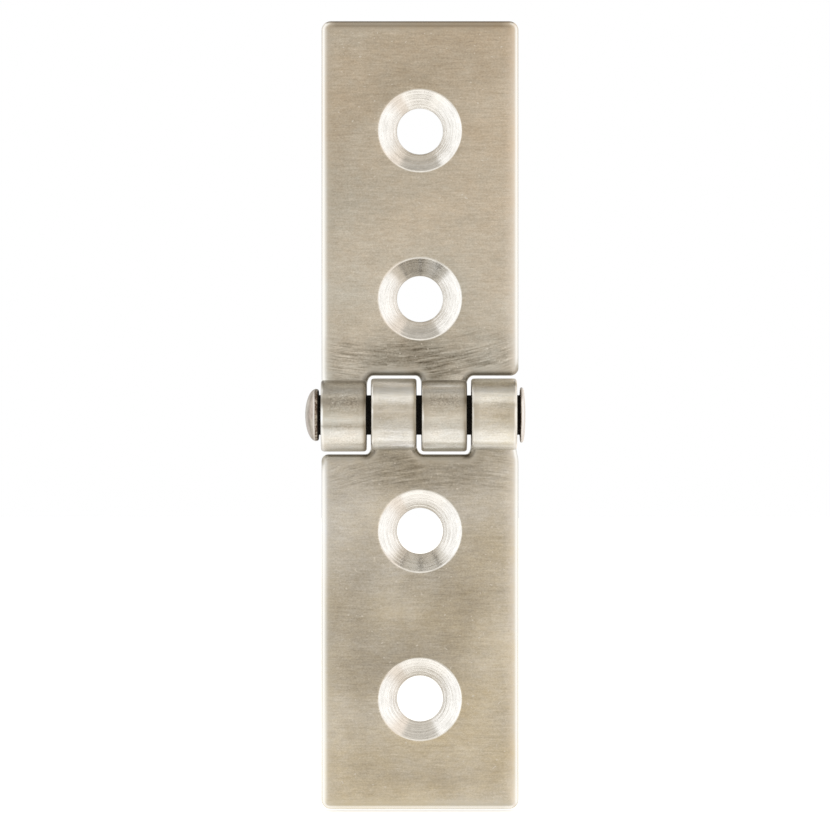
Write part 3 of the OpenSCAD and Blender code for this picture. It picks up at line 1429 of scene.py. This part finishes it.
@dataclass(frozen=True)
class Studio:
    """A pale floor, soft light from the sides and below the front, and the camera.

    The sweep is the light in the plane that stands across the pin: degrees above the camera's
    own direction, and the glow there.
    """

    sweep: tuple[tuple[float, Glow], ...] = (
        (-180.0, Glow((1.0, 0.97, 0.93), 0.60)),
        (-124.0, Glow((1.0, 0.95, 0.87), 1.00)),
        (-94.0, Glow((1.0, 0.965, 0.90), 1.28)),
        (-57.0, Glow((1.0, 0.965, 0.91), 1.25)),
        (-44.0, Glow((1.0, 0.94, 0.84), 0.86)),
        (-17.0, Glow((1.0, 0.93, 0.81), 0.84)),
        (-4.0, Glow((1.0, 0.885, 0.71), 0.67)),
        (24.0, Glow((1.0, 0.90, 0.75), 0.72)),
        (40.0, Glow((1.0, 0.95, 0.87), 0.96)),
        (52.0, Glow((1.0, 0.96, 0.89), 1.16)),
        (66.0, Glow((1.0, 0.95, 0.86), 0.90)),
        (82.0, Glow((1.0, 0.94, 0.84), 0.52)),
        (120.0, Glow((1.0, 0.93, 0.82), 0.44)),
        (180.0, Glow((1.0, 0.97, 0.93), 0.60)),
    )
    near_right: Glow = Glow((1.0, 0.905, 0.80), 1.06)
    right: Glow = Glow((1.0, 0.985, 0.955), 1.27)
    left: Glow = Glow((1.0, 0.99, 0.965), 1.27)
    high_left: Glow = Glow((1.0, 0.985, 0.955), 1.20)
    behind: Glow = Glow((1.0, 0.985, 0.96), 0.85)
    floor_drop: float = 0.4 * MM
    floor_size: float = 4.0
    lens_mm: float = 200.0
    camera_distance: float = 0.702
    camera_left: float = 0.76 * MM

    def build_floor(self, lowest: float) -> bpy.types.Object:
        """Lays the floor.

        Args:
            lowest: the height of the hinge's lowest point.

        Returns:
            The floor.
        """
        half, z = self.floor_size / 2, lowest - self.floor_drop
        mesh = bpy.data.meshes.new("floor")
        corners = [(-half, -half, z), (half, -half, z), (half, half, z), (-half, half, z)]
        mesh.from_pydata(corners, [], [(0, 1, 2, 3)])
        mesh.materials.append(PaleFloor().material())
        floor = add_object("floor", mesh)
        floor.visible_glossy = False
        return floor

    def build_light(self) -> bpy.types.World:
        """Makes the light round the hinge.

        Returns:
            The world that holds it.
        """
        world = bpy.data.worlds.new("studio")
        world.use_nodes = True
        bpy.context.scene.world = world
        graph = Graph(world.node_tree)
        way = graph.node("ShaderNodeTexCoord", {}, {}, "Generated")
        x, y, z = graph.split(way)
        turn = graph.math("ARCTAN2", z, y * -1.0) * (0.5 / math.pi) + 0.5
        stops = [(degrees / 360 + 0.5, glow.light) for degrees, glow in self.sweep]
        light = graph.node("ShaderNodeValToRGB", {"stops": stops}, {"Fac": turn})
        lifted = abs(z) * 0.45
        light = graph.mix(graph.step(x - lifted, 0.02, 0.15), light, self.near_right.light)
        light = graph.mix(graph.step(x - lifted, 0.30, 0.70), light, self.right.light)
        light = graph.mix(graph.step(x * -1.0 - lifted, 0.07, 0.62), light, self.left.light)
        high_left = graph.step(x * -1.0 - z * 0.52, 0.02, 0.08) * graph.step(z, 0.40, 0.60)
        light = graph.mix(high_left, light, self.high_left.light)
        sideways = graph.step(abs(x), 0.35, 0.8)
        light = graph.mix(graph.step(y, 0.25, 0.60) * sideways, light, self.behind.light)
        lit = graph.node("ShaderNodeBackground", {}, {"Color": light, "Strength": 1.0})
        plain = graph.node("ShaderNodeBackground", {}, {"Color": (1.0, 1.0, 1.0, 1.0), "Strength": 1.0})
        seen = graph.node("ShaderNodeLightPath", {}, {}, "Is Camera Ray")
        mixed = graph.node("ShaderNodeMixShader", {}, {0: seen, 1: lit, 2: plain})
        graph.node("ShaderNodeOutputWorld", {}, {"Surface": mixed})
        return world

    def build_camera(self, low: Vector, high: Vector) -> bpy.types.Object:
        """Stands the camera level with the pin, square to the leaves.

        Args:
            low: the lowest corner of the frame leaf.
            high: its highest corner.

        Returns:
            The camera.
        """
        data = bpy.data.cameras.new("camera")
        data.lens = self.lens_mm
        data.clip_start, data.clip_end = 0.01, 20.0
        camera = add_object("camera", data)
        x = (low.x + high.x) / 2 - self.camera_left
        y = high.y - SheetSizes().thickness * MM - self.camera_distance
        camera.location = (x, y, named(frame["joints"], "leaf_fold")["pos_m"][2])
        camera.rotation_euler = (math.pi / 2, 0.0, 0.0)
        bpy.context.scene.camera = camera
        return camera


def main() -> None:
    """Builds the hinge piece by piece, then its studio."""
    logging.basicConfig(level=logging.INFO, format="%(name)s: %(message)s", stream=sys.stdout)
    bpy.context.scene.view_settings.view_transform = "Standard"
    sink = TurnedSink().material()
    upper = Leaf(
        piece="leaf_of_frame",
        node="frame_leaf",
        body="frame_leaf",
        turn=Turn.UPRIGHT,
        screws="frame_leaf_screws",
        # each roll: its creases, then its bands of painted light and painted shade
        rolls=(
            Roll(
                (78, 96, 110, 128, 146, 160, 172, 187, 201, 214, 228, 243, 258, 271),
                ((203, 11, -0.56), (250, 19, -0.55), (174, 5, 0.26), (162, 3, -0.20)),
                shift=0.02,
            ),
            Roll(
                (82, 99, 117, 133, 149, 157, 171, 184, 199, 216, 231, 247, 262),
                ((204, 10.5, -0.52), (252, 12, -0.42), (176, 5, 0.12)),
                shift=-0.20,
            ),
        ),
        edge_shade=PaintedEdgeShade(far_end=0.42),
    )
    lower = Leaf(
        piece="leaf_of_door",
        node="door_leaf",
        body="door_leaf",
        turn=Turn.OVER,
        screws="door_leaf_screws",
        # each roll: its creases, then its bands of painted light and painted shade
        rolls=(
            Roll(
                (80, 97, 112, 125, 141, 158, 170, 183, 197, 213, 230, 246, 262),
                ((121, 8, -0.34), (138, 10, 0.18), (164, 4, -0.16), (247, 12, 0.60), (228, 7, 0.12)),
                shift=0.35,
            ),
            Roll(
                (84, 101, 118, 131, 147, 161, 174, 189, 203, 219, 233, 248, 264),
                ((140, 13, 0.24), (174, 3, 0.18), (247, 12, 0.60), (228, 7, 0.20)),
                shift=0.12,
            ),
        ),
        edge_shade=PaintedEdgeShade(far_end=0.10),
    )
    sheets = {
        upper.piece: BrushedSteel("upper_sheet", upper.axis.z),
        lower.piece: BrushedSteel(
            "lower_sheet",
            lower.axis.z,
            swirl=0.62,
            swirl_side=-1.0,
            cloud=0.8,
            far_tone=-0.02,
            tan_green=0.022,
            tan_blue=0.072,
            middle_tone=-0.20,
            margin_tone=0.13,
        ),
    }
    for leaf in (upper, lower):
        piece = leaf.build()
        leaf.dress(piece, sheets[leaf.piece], sink)
        log.info("%s: %d faces", piece.name, len(piece.data.polygons))
    pin = RivetPin()
    piece = pin.build()
    pin.dress(piece, PinSteel())
    log.info("%s: %d faces", piece.name, len(piece.data.polygons))
    studio = Studio()
    low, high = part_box("frame_leaf")
    floor = studio.build_floor(cad_box[0].z)
    world = studio.build_light()
    camera = studio.build_camera(low, high)
    log.info("%s, %s and %s are in place", floor.name, world.name, camera.name)


if __name__ == "__main__":
    main()
